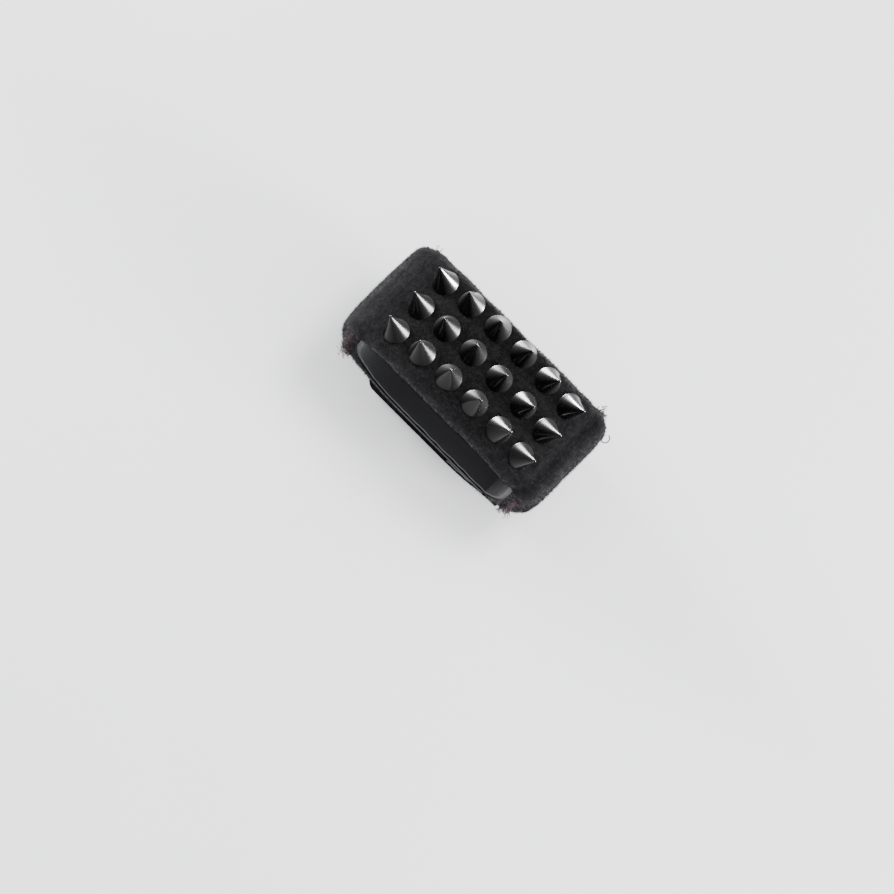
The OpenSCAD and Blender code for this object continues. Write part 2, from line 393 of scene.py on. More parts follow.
def arc(centre, radius, first, last, count):
    turned = [angled(first + (last - first) * k / count) for k in range(count + 1)]
    return [(centre[0] + radius * across, centre[1] + radius * up) for across, up in turned]


def spreadEven(points, count):
    points = np.array(points)
    run = np.concatenate([[0], np.cumsum(np.linalg.norm(np.diff(points, axis=0), axis=1))])
    wanted = np.linspace(0, run[-1], count + 1)
    return [(np.interp(w, run, points[:, 0]), np.interp(w, run, points[:, 1])) for w in wanted]


splitZ = cornerR
lowBass = lapZ + cornerR
neckR = cornerR - (halfWide - halfNeck)
lowNeck = neckZ + neckR
lowFold = coverThick + liningThick + neckR
stringRound = 2
faceEase = 4.6
legs = [
    # outer run, neck-face run and steps of each stretch
    ("lap", line((lapReach, lapZ), (-peelX, lapZ), 18), line((lapReach, neckZ), (-peelX, neckZ), 18)),
    ("bassCurve", arc((-peelX, lowBass), cornerR, 180, 270, 32), arc((-peelX, lowNeck), neckR, 180, 270, 32)),
    ("bassWall", line((-halfWide, lowBass), (-halfWide, shoulderZ), 5),
     line((-halfNeck, lowNeck), (-halfNeck, stringsZ - faceEase), 5)),
    ("bassShoulder", arc((-shoulderX, shoulderZ), shoulderR, 270, 360 - shoulderA, 8),
     line((-halfNeck, stringsZ - faceEase), (-halfNeck, stringsZ - stringRound), 8)),
    ("crown", arc((0, domeZ), crownR, -shoulderA, shoulderA, 64),
     spreadEven(arc((stringRound - halfNeck, stringsZ - stringRound), stringRound, 270, 360, 8)
                + arc((halfNeck - stringRound, stringsZ - stringRound), stringRound, 0, 90, 8), 64)),
    ("trebleShoulder", arc((shoulderX, shoulderZ), shoulderR, shoulderA, 90, 8),
     line((halfNeck, stringsZ - stringRound), (halfNeck, stringsZ - faceEase), 8)),
    ("trebleWall", line((halfWide, shoulderZ), (halfWide, splitZ), 8),
     line((halfNeck, stringsZ - faceEase), (halfNeck, lowFold), 8)),
]
closing = [
    ("trebleCurve", arc((peelX, cornerR), cornerR, 90, 180, 34), arc((peelX, lowFold), neckR, 90, 180, 34)),
    ("flap", line((peelX, 0), (flapEndX, 0), 30), line((peelX, coverThick), (flapEndX, coverThick), 30)),
]


def runOf(stretches, inward=liningThick):
    outer = []
    depths = []
    towards = []
    names = []
    for name, skin, face in stretches:
        for k in range(1 if outer else 0, len(skin)):
            start = np.array(skin[k])
            gap = np.array(face[k]) - start
            deep = np.linalg.norm(gap)
            outer.append(start)
            towards.append(gap / deep)
            depths.append(deep - (0 if name == "flap" else inward))
            names.append(name)
    return np.array(outer), np.array(towards), np.array(depths), names


pad = {
    "edgeRound": 2.3,
    "seamDip": 0.4,
    "bassShare": 0.3,
    "seamWide": 0.75,
    "lump": 0.34,
    "lumpSize": 5.0,
    "sideBulge": 0.45,
    "skin": 1.5,
    "puff": 0.5,
    "endPlump": 0.25,
    "waist": 1.7,
}
legSteps = 8
roundSteps = 6
topSteps = 22


def sectionOf(half, leg, corner):
    # across the band: up the near side, round its edge, over the top and down the far side
    corner = min(corner, leg * 0.9)
    near = [(-half, leg + (corner - leg) * k / legSteps) for k in range(legSteps)]
    for k in range(roundSteps):
        across, up = angled(90 * k / roundSteps)
        near.append((-half + corner * (1 - up), corner * (1 - across)))
    flat = half - corner
    top = [(-flat + 2 * flat * k / topSteps, 0) for k in range(topSteps + 1)]
    return np.array(near + top + [(-y, d) for y, d in reversed(near)])


def gridOf(outer, towards, depths, half):
    rows = []
    for start, way, deep in zip(outer, towards, depths):
        section = sectionOf(half, deep, pad["edgeRound"])
        spots = start[None, :] + section[:, 1:2] * way[None, :]
        rows.append(np.stack([spots[:, 0], section[:, 0], spots[:, 1]], axis=1))
    return np.array(rows)


def outwards(grid, towards):
    along = np.gradient(grid, axis=0)
    across = np.gradient(grid, axis=1)
    normals = np.cross(along, across)
    normals /= np.linalg.norm(normals, axis=2, keepdims=True) + 1e-12
    middle = grid.shape[1] // 2
    facing = -(normals[:, middle, 0] * towards[:, 0] + normals[:, middle, 2] * towards[:, 1])
    return normals * np.sign(facing.sum())


def lumpy(grid, normals, amount, size, offset=0.0):
    flat = grid.reshape(-1, 3)
    rise = np.array([noise.noise(Vector(spot / size) + Vector((offset, 0, 0))) for spot in flat])
    return grid + normals * (rise.reshape(grid.shape[:2])[:, :, None] * amount)


padOuter, padWays, padDepths, padNames = runOf(legs)
padGrid = gridOf(padOuter, padWays, padDepths, halfBand)
seamHem = 1.5
hemA = math.degrees(seamHem / crownR)


def angleOff(spot):
    return math.degrees(math.atan2(spot[0], spot[1] - domeZ))


crownA = np.array([angleOff(spot) if spot[1] > 20 else 999 for spot in padOuter])
# how free each station is: the underlap and the leg's end stay flat
freedom = np.ones(len(padNames))
for k, name in enumerate(padNames):
    if name == "lap":
        freedom[k] = 0
    if name == "bassCurve":
        freedom[k] = np.clip((padOuter[k][1] - lapZ - 1.5) / 8, 0, 1)
    if name == "trebleWall":
        freedom[k] = np.clip((padOuter[k][1] - splitZ) / 5, 0, 1)
waist = np.clip(1 - (padOuter[:, 0] / (seamX - 1)) ** 2, 0, 1) * (padOuter[:, 1] > 25)
farShare = np.clip(padGrid[0, :, 1] / halfBand, 0, 1) ** 3
padGrid[:, :, 1] -= pad["waist"] * waist[:, None] * farShare[None, :]
padNormals = outwards(padGrid, padWays)

# sewn dips across the band at both shoulders, and a plump roll past each
offSeam = (np.abs(crownA) - (seamA - hemA)) * math.pi / 180 * crownR
offSeam = np.where(np.abs(crownA) < 60, offSeam, 99)
trebleSide = np.where(padOuter[:, 0] > 0, 1.0, pad["bassShare"])
dip = np.exp(-(offSeam / pad["seamWide"]) ** 2) * pad["seamDip"] * trebleSide
roll = np.exp(-((offSeam - 2.6) / 1.7) ** 2) * pad["endPlump"] * trebleSide
padGrid = padGrid + padNormals * (roll - dip)[:, None, None]
width = padGrid.shape[1]
sideShare = np.zeros(width)
for k in range(legSteps + 3):
    sideShare[k] = math.sin(math.pi * min(1, k / (legSteps + 2)))
    sideShare[width - 1 - k] = sideShare[k]
bulge = sideShare[None, :] * freedom[:, None] * pad["sideBulge"]
padGrid = padGrid + padNormals * bulge[:, :, None]
lumps = lumpy(padGrid, padNormals, pad["lump"], pad["lumpSize"]) - padGrid
padGrid = padGrid + lumps * freedom[:, None, None]

studs = {
    "pitch": 7.6,
    "base": 2.9,
    "rim": 0.6,
    "height": 7.0,
    "point": 0.3,
    "lean": 1.3,
    "rings": 14,
    "sides": 56,
}
studRows = [boxMm("stud_" + row + "3") for row in "abc"]
studY = [(low[1] + high[1]) / 2 for low, high in studRows]
studA = [(column - 2.5) * math.degrees(studs["pitch"] / crownR) for column in range(6)]


def domeSpot(degrees, y, lift=0.0):
    across, up = angled(degrees)
    return np.array([across * (crownR + lift), y, domeZ + up * (crownR + lift)])


studSpots = [domeSpot(a, y) for y in studY for a in studA]


def closedLoop(grid):
    # the skin's grid with the neck face closed across its two legs
    extra = 8
    under = []
    for k in range(len(grid)):
        first = grid[k, -1]
        last = grid[k, 0]
        under.append([first + (last - first) * j / (extra + 1) for j in range(1, extra + 1)])
    return np.concatenate([grid, np.array(under)], axis=1)


def tubeFaces(rows, columns, offset=0, caps=True):
    faces = [(offset + i * columns + j, offset + i * columns + (j + 1) % columns,
              offset + (i + 1) * columns + (j + 1) % columns, offset + (i + 1) * columns + j)
             for i in range(rows - 1) for j in range(columns)]
    if caps:
        faces.append(tuple(offset + j for j in reversed(range(columns))))
        faces.append(tuple(offset + (rows - 1) * columns + j for j in range(columns)))
    return faces


def puffedUp(grid, loop, held):
    # ten times life size, because cloth springs are tuned for furniture
    grown = 10 * mm
    rows, columns = loop.shape[:2]
    mesh = bpy.data.meshes.new("puff_form")
    mesh.from_pydata((loop.reshape(-1, 3) * grown).tolist(), [], tubeFaces(rows, columns))
    form = bpy.data.objects.new("puff_form", mesh)
    bpy.context.scene.collection.objects.link(form)
    tidy = bmesh.new()
    tidy.from_mesh(mesh)
    bmesh.ops.recalc_face_normals(tidy, faces=tidy.faces)
    tidy.to_mesh(mesh)
    tidy.free()
    pins = form.vertex_groups.new(name="held")
    pins.add([int(k) for k in np.flatnonzero(held.reshape(-1))], 1.0, "REPLACE")
    cloth = form.modifiers.new("cloth", "CLOTH")
    cloth.settings.quality = 5
    cloth.settings.mass = 0.3
    cloth.settings.tension_stiffness = 12
    cloth.settings.compression_stiffness = 12
    cloth.settings.bending_stiffness = 0.8
    cloth.settings.vertex_group_mass = "held"
    cloth.settings.use_pressure = True
    cloth.settings.uniform_pressure_force = 4
    cloth.settings.effector_weights.gravity = 0
    cloth.point_cache.frame_start = 1
    lastTick = 20
    cloth.point_cache.frame_end = lastTick
    for tick in range(1, lastTick + 1):
        bpy.context.scene.frame_set(tick)
    worn = form.evaluated_get(bpy.context.evaluated_depsgraph_get())
    settled = np.array([spot.co[:] for spot in worn.data.vertices]) / grown
    bpy.data.objects.remove(form)
    bpy.context.scene.frame_set(1)
    return settled.reshape(rows, columns, 3)[:, :grid.shape[1]] - grid


padNormals = outwards(padGrid, padWays)
loop = closedLoop(padGrid)
held = np.zeros(loop.shape[:2], bool)
held[:, width:] = True
held[:, 0] = True
held[:, width - 1] = True
held[freedom < 0.02] = True
held[dip > 0.25] = True
for spot in studSpots:
    held[:, :width] |= np.linalg.norm(padGrid - spot, axis=2) < studs["base"]
moved = puffedUp(padGrid, loop, held)
lift = np.clip((moved * padNormals).sum(axis=2), -0.15, pad["puff"]) * freedom[:, None]
padSkin = padGrid + padNormals * lift[:, :, None]
print("padding puffed, most", round(float(lift.max()), 2), "mm")


def thickSheet(outer, inner):
    rows, columns = outer.shape[:2]
    count = rows * columns
    points = np.concatenate([outer.reshape(-1, 3), inner.reshape(-1, 3)])
    faces = []
    for i in range(rows - 1):
        for j in range(columns - 1):
            a = i * columns + j
            quad = (a, a + 1, a + columns + 1, a + columns)
            faces.append(quad)
            faces.append(tuple(count + v for v in reversed(quad)))
    for i in range(rows - 1):
        for j, turn in ((0, False), (columns - 1, True)):
            a = i * columns + j
            rim = (a, a + columns, count + a + columns, count + a)
            faces.append(tuple(reversed(rim)) if turn else rim)
    for j in range(columns - 1):
        for i, turn in ((0, True), (rows - 1, False)):
            a = i * columns + j
            rim = (a, a + 1, count + a + 1, count + a)
            faces.append(tuple(reversed(rim)) if turn else rim)
    return points, faces


def acrossFold(piece):
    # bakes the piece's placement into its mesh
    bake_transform(piece)


def carried(piece, body):
    if body == "fold":
        acrossFold(piece)
    else:
        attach(piece, body)


def acrossPeel(piece):
    (peelX + 1.8) * mm
    (peelX - 3) * mm
    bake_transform(piece)


def cutSize(grid):
    wide = np.linalg.norm(np.diff(grid, axis=1), axis=2).sum(axis=1).mean()
    long = np.linalg.norm(np.diff(grid, axis=0), axis=2).sum(axis=0)[grid.shape[1] // 2]
    return wide * mm, long * mm


skinNormals = outwards(padSkin, padWays)
padInner = padSkin - skinNormals * pad["skin"]
# the underlap is cut apart from the rest, since it stays put as the treble side swings out
lapEnd = padNames.index("bassCurve")
velourPad = addPiece("velour_pad", *thickSheet(padSkin[lapEnd - 1:], padInner[lapEnd - 1:]), velour,
                     flip=True)
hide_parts("outer_cover", "treble_cover")
acrossFold(velourPad)
cutSize(padGrid[lapEnd - 1:])
velourLap = addPiece("velour_underlap", *thickSheet(padSkin[:lapEnd], padInner[:lapEnd]), velour, flip=True)
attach(velourLap, "pad")

flapOuter, flapWays, flapDepths, flapNames = runOf(closing)
flapGrid = gridOf(flapOuter, flapWays, np.maximum(flapDepths, 1.56), halfBand)
endRound = 3.0
for k, spot in enumerate(flapOuter):
    fromEnd = spot[0] - flapEndX
    if flapNames[k] == "flap" and fromEnd < endRound:
        narrow = endRound - math.sqrt(max(0, endRound ** 2 - (endRound - fromEnd) ** 2))
        flapGrid[k, :, 1] *= (halfBand - narrow) / halfBand
flapNormals = outwards(flapGrid, flapWays)
flapInner = flapGrid - flapNormals * pad["skin"]
velourFlap = addPiece("velour_flap", *thickSheet(flapGrid, flapInner), velour, flip=True)
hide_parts("flap_cover")
acrossPeel(velourFlap)
print("velour made", [round(v / mm, 1) for v in cutSize(padGrid) + cutSize(flapGrid)])

# foam core, one closed plump form inside the velour
coreOuter = padInner - skinNormals * 0.06
lapCore = closedLoop(coreOuter[:lapEnd])
foamLap = addPiece("foam_underlap", lapCore.reshape(-1, 3), tubeFaces(*lapCore.shape[:2]), foamGrey,
                   flip=True)
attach(foamLap, "pad")
core = closedLoop(coreOuter[lapEnd - 1:])
trebleCore = []
for start, way, deep, name in zip(flapOuter, flapWays, flapDepths, flapNames):
    if name == "flap" or deep < 1.95:
        break
    section = sectionOf(halfBand, deep, pad["edgeRound"])
    inset = np.clip(section, [-halfBand + 1.56, 1.56], [halfBand - 1.56, 99])
    inset[:, 1] = np.minimum(inset[:, 1], deep)
    spots = start[None, :] + inset[:, 1:2] * way[None, :]
    trebleCore.append(np.stack([spots[:, 0], inset[:, 0], spots[:, 1]], axis=1))
trebleCore = closedLoop(np.array(trebleCore[1:]))
core = np.concatenate([core, trebleCore])
foam = addPiece("foam_wrap", core.reshape(-1, 3), tubeFaces(*core.shape[:2]), foamGrey, flip=True)
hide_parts("crown_foam", "bass_foam", "treble_foam")
acrossFold(foam)

# knitted lining on the neck face, its raw edges a little uneven
lining = {"inset": 0.35, "wander": 0.18, "columns": 24, "ripple": 0.06}
faceRun = []
for name, skin, face in legs + closing[:1]:
    faceRun += [np.array(spot) for spot in (face[1:] if faceRun else face)]
faceRun = np.array(faceRun)
forward = np.gradient(faceRun, axis=0)
forward /= np.linalg.norm(forward, axis=1, keepdims=True)
intoPad = np.stack([-forward[:, 1], forward[:, 0]], axis=1)
skinWays = runOf(legs + closing[:1], 0)[1]
if (intoPad * skinWays).sum() > 0:
    intoPad = -intoPad
linedInner = []
linedOuter = []
for k, (spot, way) in enumerate(zip(faceRun, intoPad)):
    edge = lining["wander"] * noise.noise(Vector((spot[0] * 0.6, 3.1, spot[1] * 0.6)))
    reach = halfBand - lining["inset"]
    ys = np.linspace(edge - reach, edge + reach, lining["columns"] + 1)
    ripple = [lining["ripple"] * noise.noise(Vector((spot[0] * 0.8, y * 0.8, spot[1] * 0.8))) for y in ys]
    linedInner.append([(spot[0] + way[0] * (0.1 + r), y, spot[1] + way[1] * (0.1 + r))
                       for y, r in zip(ys, ripple)])
    deep = liningThick - 0.08
    linedOuter.append([(spot[0] + way[0] * deep, y, spot[1] + way[1] * deep) for y in ys])
linedInner = np.array(linedInner)
linedOuter = np.array(linedOuter)
liningPad = addPiece("lining_knit", *thickSheet(linedInner[lapEnd - 1:], linedOuter[lapEnd - 1:]), knit,
                     flip=True)
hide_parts("lining", "treble_lining")
acrossFold(liningPad)
cutSize(linedInner[lapEnd - 1:])
liningLap = addPiece("lining_underlap", *thickSheet(linedInner[:lapEnd], linedOuter[:lapEnd]), knit,
                     flip=True)
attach(liningLap, "pad")
print("foam and lining made", [round(v / mm, 1) for v in cutSize(linedInner)])


def studProfile():
    tipR = studs["point"]
    base = studs["base"]
    rim = studs["rim"]
    profile = [(0.0, 0.12), (base - 0.35, 0.0)]
    for k in range(1, 5):
        across, up = angled(90 * k / 4)
        profile.append((base - 0.25 + 0.25 * across, 0.25 - 0.25 * up))
    profile += [(base, rim - 0.2), (base - 0.03, rim - 0.08), (base - 0.1, rim + 0.03)]
    top = studs["height"] - tipR
    for k in range(1, studs["rings"] + 1):
        share = k / studs["rings"]
        # the flank is very slightly hollow, as polished cones are
        radius = (base - 0.12) * (1 - share) + tipR * 0.92 * share - 0.1 * math.sin(math.pi * share)
        profile.append((radius, rim + 0.05 + (top - rim - 0.05) * share))
    for k in range(1, 6):
        across, up = angled(90 * (1 - k / 6) * 0.95)
        profile.append((tipR * across, top + tipR * up))
    profile.append((0.0, studs["height"]))
    return profile


def lathe(profile, sides):
    points = []
    faces = []
    rings = profile[1:-1]
    points.append((0, 0, profile[0][1]))
    for radius, height in rings:
        for k in range(sides):
            across, up = angled(360 * k / sides)
            points.append((radius * across, radius * up, height))
    points.append((0, 0, profile[-1][1]))
    last = len(points) - 1
    for k in range(sides):
        after = (k + 1) % sides
        faces.append((0, 1 + k, 1 + after))
        for ring in range(len(rings) - 1):
            a = 1 + ring * sides
            faces.append((a + k, a + sides + k, a + sides + after, a + after))
        a = 1 + (len(rings) - 1) * sides
        faces.append((a + k, last, a + after))
    return np.array(points), faces


random.seed(4)
studGroup = bpy.data.collections.new("stud_group")
studPoints, studFaces = lathe(studProfile(), studs["sides"])
for row, y in zip("abc", studY):
    for column, degrees in enumerate(studA):
        lean = random.gauss(0, studs["lean"])
        tip = Matrix.Rotation(math.radians(random.gauss(0, studs["lean"])), 3, "X")
        turn = Matrix.Rotation(math.radians(degrees + lean), 3, "Y") @ tip
        placed = studPoints @ np.array(turn).T + domeSpot(degrees, y)
        stud = addPiece("cone_stud_" + row + str(column + 1), placed, studFaces, studBlack, sharp=60,
                        flip=True)
        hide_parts("stud_" + row + str(column + 1))
        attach(stud, "pad")
        studGroup.objects.link(stud)
screws = frame["nodes"]["stud_screws"].data
screws.materials.clear()
screws.materials.append(steel)
print("studs made")


def tube(points, radii, sides):
    points = np.asarray(points, float)
    forward = np.gradient(points, axis=0)
    forward /= np.linalg.norm(forward, axis=1, keepdims=True) + 1e-12
    helper = np.array([0.31, 0.53, 0.79])
    across = np.cross(forward[0], helper)
    rings = []
    for k, spot in enumerate(points):
        across = across - forward[k] * across.dot(forward[k])
        across /= np.linalg.norm(across) + 1e-12
        other = np.cross(forward[k], across)
        turns = [angled(360 * j / sides) for j in range(sides)]
        rings.append([spot + radii[k] * (c * across + a * other) for a, c in turns])
    return np.array(rings).reshape(-1, 3), tubeFaces(len(points), sides)


def joined(parts):
    points = []
    faces = []
    count = 0
    for some, their in parts:
        points.append(some)
        faces += [tuple(v + count for v in face) for face in their]
        count += len(some)
    return np.concatenate(points), faces


stitching = {
    "length": 2.0,
    "pitch": 3.0,
    "ply": 0.12,
    "twist": 2.6,
    "sink": 0.55,
    "edge": 1.5,
}


def stitchAt(middle, along, normal):
    # two plies twisted together, both ends diving into the cloth
    along = along / np.linalg.norm(along)
    side = np.cross(normal, along)
    made = []
    for ply in (0, 180):
        path = []
        for k in range(11):
            share = k / 10
            across, up = angled(ply + 360 * stitching["twist"] * share)
            dive = -0.55 * abs(2 * share - 1) ** 4
            height = dive + stitching["ply"] * (0.9 + across) - stitching["sink"] * 0.3
            path.append(middle + along * (share - 0.5) * stitching["length"]
                        + normal * height + side * stitching["ply"] * up)
        made.append(tube(path, [stitching["ply"]] * 11, 6))
    return joined(made)


skinFlat = padSkin.reshape(-1, 3)
normalFlat = skinNormals.reshape(-1, 3)


def onSkin(spot):
    nearest = int(np.argmin(((skinFlat - spot) ** 2).sum(axis=1)))
    normal = normalFlat[nearest]
    return spot + normal * (skinFlat[nearest] - spot).dot(normal), normal


def evenly(length):
    count = math.floor((length - stitching["length"]) / stitching["pitch"])
    return [(k - count / 2) * stitching["pitch"] for k in range(count + 1)]


edgeY = halfBand - stitching["edge"]
acrossY = evenly(2 * edgeY)


def seamAcross(name, node, degrees, body):
    made = []
    for y in acrossY:
        spot, normal = onSkin(domeSpot(degrees, y))
        made.append(stitchAt(spot, np.array([0, 1, 0]), normal))
    piece = addPiece(name, *joined(made), threadBlack, flip=True)
    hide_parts(node)
    carried(piece, body)
    return piece


def arcStitches(centre, radius, first, last):
    count = math.floor((last - first) / 180 * math.pi * radius / stitching["pitch"])
    step = (last - first) / max(count, 1)
    made = []
    for y in (-edgeY, edgeY):
        for k in range(count):
            across, up = angled(first + (k + 0.5) * step)
            spot = np.array([centre[0] + across * radius, y, centre[1] + up * radius])
            made.append((spot, np.array([up, 0, -across])))
    return made


def wallStitches(side, low):
    length = shoulderZ - low
    return [(np.array([side * halfWide, y, low + length / 2 + run]), np.array([0, 0, 1.0]))
            for y in (-edgeY, edgeY) for run in evenly(length)]


def edgeSeam(name, node, places, body, flat=None):
    made = []
    for spot, along in places:
        if flat is None:
            spot, normal = onSkin(spot)
        else:
            normal = flat
        along = along - normal * along.dot(normal)
        made.append(stitchAt(spot, along, normal))
    piece = addPiece(name, *joined(made), threadBlack, flip=True)
    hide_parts(node)
    carried(piece, body)
    return piece


seamAcross("bass_shoulder_stitching", "bass_shoulder_seam", hemA - seamA, "pad")
seamAcross("treble_shoulder_stitching", "treble_shoulder_seam", seamA - hemA, "fold")
up3 = np.array([0, 0, 1.0])
edgeSeam("crown_edge_stitching", "crown_edge_stitches",
         arcStitches((0, domeZ), crownR, 2 * hemA - seamA, seamA - 2 * hemA), "pad")
edgeSeam("bass_edge_stitching", "bass_edge_stitches",
         wallStitches(-1, lowBass) + arcStitches((-peelX, lowBass), cornerR, 180, 270), "pad")
trebleFlat = flapGrid.reshape(-1, 3)
trebleNormals = outwards(flapGrid, flapWays).reshape(-1, 3)
skinFlat = np.concatenate([skinFlat, trebleFlat])
normalFlat = np.concatenate([normalFlat, trebleNormals])
edgeSeam("treble_edge_stitching", "treble_edge_stitches",
         wallStitches(1, cornerR) + arcStitches((peelX, cornerR), cornerR, 90, 160), "fold")
lapSewn = [(np.array([lapReach - stitching["edge"], y, neckZ]), np.array([0, 1.0, 0])) for y in acrossY]
edgeSeam("underlap_stitching", "underlap_seam", lapSewn, "pad", up3)
flapRun = flapEndX + (peelX - flapEndX) / 2
edgeSeam("flap_edge_stitching", "flap_edge_stitches",
         [(np.array([flapRun + run, y, coverThick]), np.array([1.0, 0, 0]))
          for y in (-edgeY, edgeY) for run in evenly(peelX - flapEndX - 3)], "flap", up3)

hooks = {"baseThick": 0.6, "plain": 1.6, "pitch": 0.95, "radius": 0.075, "tall": 0.8, "sides": 4}
hookLow, hookHigh = boxMm("hook_strip")
hookWide = hookHigh[1]
selvage = []
for x in np.linspace(hookLow[0], hookHigh[0], 42):
    selvage.append([(x, y, hookLow[2] + hooks["baseThick"] + 0.03 * noise.noise(Vector((x, y, 7))))
                    for y in np.linspace(-hookWide, hookWide, 41)])
selvage = np.array(selvage)
tapeUnder = selvage.copy()
tapeUnder[:, :, 2] = hookLow[2] + 0.02
tape = addPiece("hook_tape", *thickSheet(selvage, tapeUnder), hookTape, sharp=35, flip=True)
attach(tape, "flap")
hookParts = []
top = hookLow[2] + hooks["baseThick"]
for x in np.arange(hookLow[0] + hooks["plain"] + 0.5, hookHigh[0] - hooks["plain"] - 0.3, hooks["pitch"]):
    for y in np.arange(-hookWide + hooks["plain"] + 0.5, hookWide - hooks["plain"] - 0.3, hooks["pitch"]):
        way = random.choice((-1, 1))
        at = np.array([x + random.uniform(-0.12, 0.12), y + random.uniform(-0.12, 0.12), top - 0.15])
        rise = hooks["tall"] * random.uniform(0.85, 1.0)
        path = [at, at + (0, 0, rise * 0.5)]
        for k in range(1, 6):
            across, up = angled(42 * k)
            path.append(at + np.array([0.22 * (1 - up) * way, 0.03 * k, rise * 0.6 + 0.28 * across]))
        hookParts.append(tube(path, [hooks["radius"]] * 6 + [hooks["radius"] * 0.6], hooks["sides"]))
hookField = addPiece("hook_field", *joined(hookParts), hookNylon, flip=True)
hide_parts("hook_strip")
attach(hookField, "flap")
inset = hooks["plain"] / 2
hookMid = (hookLow[0] + hookHigh[0]) / 2
hookLong = hookHigh[0] - hookLow[0]
around = [(np.array([hookMid + run, side * (hookWide - inset), top]), np.array([1.0, 0, 0]))
          for side in (-1, 1) for run in evenly(hookLong - hooks["plain"])]
around += [(np.array([hookMid + side * (hookLong - hooks["plain"]) / 2, run, top]), np.array([0, 1.0, 0]))
           for side in (-1, 1) for run in evenly(2 * hookWide - 2 * hooks["plain"] - stitching["length"])]
edgeSeam("hook_tape_stitching", "hook_strip_seam", around, "flap", up3)

tab = {"layer": 0.46, "ribs": 9, "rib": 0.05, "columns": 72}
tabLow, tabHigh = boxMm("pull_tab")
tabMiddle = (tabLow[2] + tabHigh[2]) / 2
bendR = (tabHigh[2] - tabLow[2]) / 2
bendX = tabLow[0] + bendR
fold = line((tabHigh[0], tabLow[2]), (bendX, tabLow[2]), 16)
fold += [(bendX - bendR * angled(180 - 20 * k)[0], tabMiddle - bendR * math.cos(math.radians(20 * k)))
         for k in range(1, 9)]
fold += line((bendX, tabHigh[2]), (tabHigh[0], tabHigh[2]), 16)
fold = np.array(fold)
foldAlong = np.gradient(fold, axis=0)
foldAlong /= np.linalg.norm(foldAlong, axis=1, keepdims=True)
tabOuter = []
tabInner = []
for spot, way in zip(fold, foldAlong):
    inwards = np.array([-way[1], way[0]])
    if inwards.dot(np.array([bendX + 6, tabMiddle]) - spot) < 0:
        inwards = -inwards
    ys = np.linspace(-tabHigh[1], tabHigh[1], tab["columns"] + 1)
    ribs = tab["rib"] * (0.5 - 0.5 * np.cos(ys / tabHigh[1] * math.pi * tab["ribs"]))
    tabOuter.append([(spot[0] + inwards[0] * r, y, spot[1] + inwards[1] * r) for y, r in zip(ys, ribs)])
    deep = tab["layer"]
    tabInner.append([(spot[0] + inwards[0] * deep, y, spot[1] + inwards[1] * deep) for y in ys])
tabOuter = np.array(tabOuter)
pullTab = addPiece("pull_tab_webbing", *thickSheet(tabOuter, np.array(tabInner)), webbing, flip=True)
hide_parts("pull_tab")
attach(pullTab, "flap")
tabSewn = [(np.array([flapEndX + share * 4, run, tabHigh[2]]), np.array([0, 1.0, 0]))
           for share in (0.25, 0.75) for run in evenly(2 * tabHigh[1])]
edgeSeam("pull_tab_stitching", "pull_tab_seam", tabSewn, "flap", up3)
print("stitching, hook tape and pull tab made")

pile = {
    "fibres": 42000,
    "flapFibres": 5000,
    "length": 0.7,
    "base": 0.04,
    "lean": 0.55,
    "nap": (0.35, -0.25, 0.0),
}


def cones(spots, ways, lengths, thick):
    # one three-sided spike per fibre
    count = len(spots)
    helper = np.tile(np.array([0.37, 0.61, 0.7]), (count, 1))
    across = np.cross(ways, helper)
    across /= np.linalg.norm(across, axis=1, keepdims=True)
    other = np.cross(ways, across)
    points = np.zeros((count, 4, 3))
    for k in range(3):
        a, c = angled(120 * k)
        points[:, k] = spots + thick[:, None] * (c * across + a * other)
    points[:, 3] = spots + ways * lengths[:, None]
    base = np.arange(count)[:, None] * 4
    order = np.array([[0, 1, 3], [1, 2, 3], [2, 0, 3], [0, 2, 1]])
    faces = (base[:, :, None] + order[None, :, :]).reshape(-1, 3)
    return points.reshape(-1, 3), faces.tolist()


def pileOn(grid, normals, allowed, count, seed):
    dice = np.random.default_rng(seed)
    corner = [grid[:-1, :-1], grid[1:, :-1], grid[:-1, 1:], grid[1:, 1:]]
    area = np.linalg.norm(np.cross(corner[1] - corner[0], corner[2] - corner[0]), axis=2) * allowed[:-1, :-1]
    chance = (area / area.sum()).reshape(-1)
    cell = dice.choice(len(chance), count, p=chance)
    i = cell // (grid.shape[1] - 1)
    j = cell % (grid.shape[1] - 1)
    u = dice.random((count, 1))
    v = dice.random((count, 1))
    spots = ((grid[i, j] * (1 - u) + grid[i + 1, j] * u) * (1 - v)
             + (grid[i, j + 1] * (1 - u) + grid[i + 1, j + 1] * u) * v)
    ways = normals[i, j] + dice.normal(0, pile["lean"], (count, 3)) + np.array(pile["nap"])
    ways /= np.linalg.norm(ways, axis=1, keepdims=True)
    lengths = pile["length"] * dice.uniform(0.45, 1.15, count)
    thick = pile["base"] * dice.uniform(0.7, 1.3, count)
    return cones(spots - normals[i, j] * 0.08, ways, lengths, thick)


allowed = np.ones(padSkin.shape[:2])
allowed[np.array([name == "lap" for name in padNames])] = 0
allowed *= np.clip((padSkin[:, :, 2] - lapZ - 1.2) / 6, 0, 1)
for spot in studSpots:
    allowed[np.linalg.norm(padSkin - spot, axis=2) < studs["base"] - 0.5] = 0
padPile = addPiece("velour_pile", *pileOn(padSkin, skinNormals, allowed, pile["fibres"], 11), pileShade)
acrossFold(padPile)
flapAllowed = np.clip((flapGrid[:, :, 2] - 1.4) / 6, 0, 1)
flapAllowed[flapGrid[:, :, 0] < peelX] = 0
flapSpikes = pileOn(flapGrid, flapNormals, flapAllowed, pile["flapFibres"], 12)
flapPile = addPiece("flap_pile", *flapSpikes, pileShade)
acrossPeel(flapPile)
print("pile made")

fray = {"thick": 0.07, "reach": 1.9, "knots": 16}


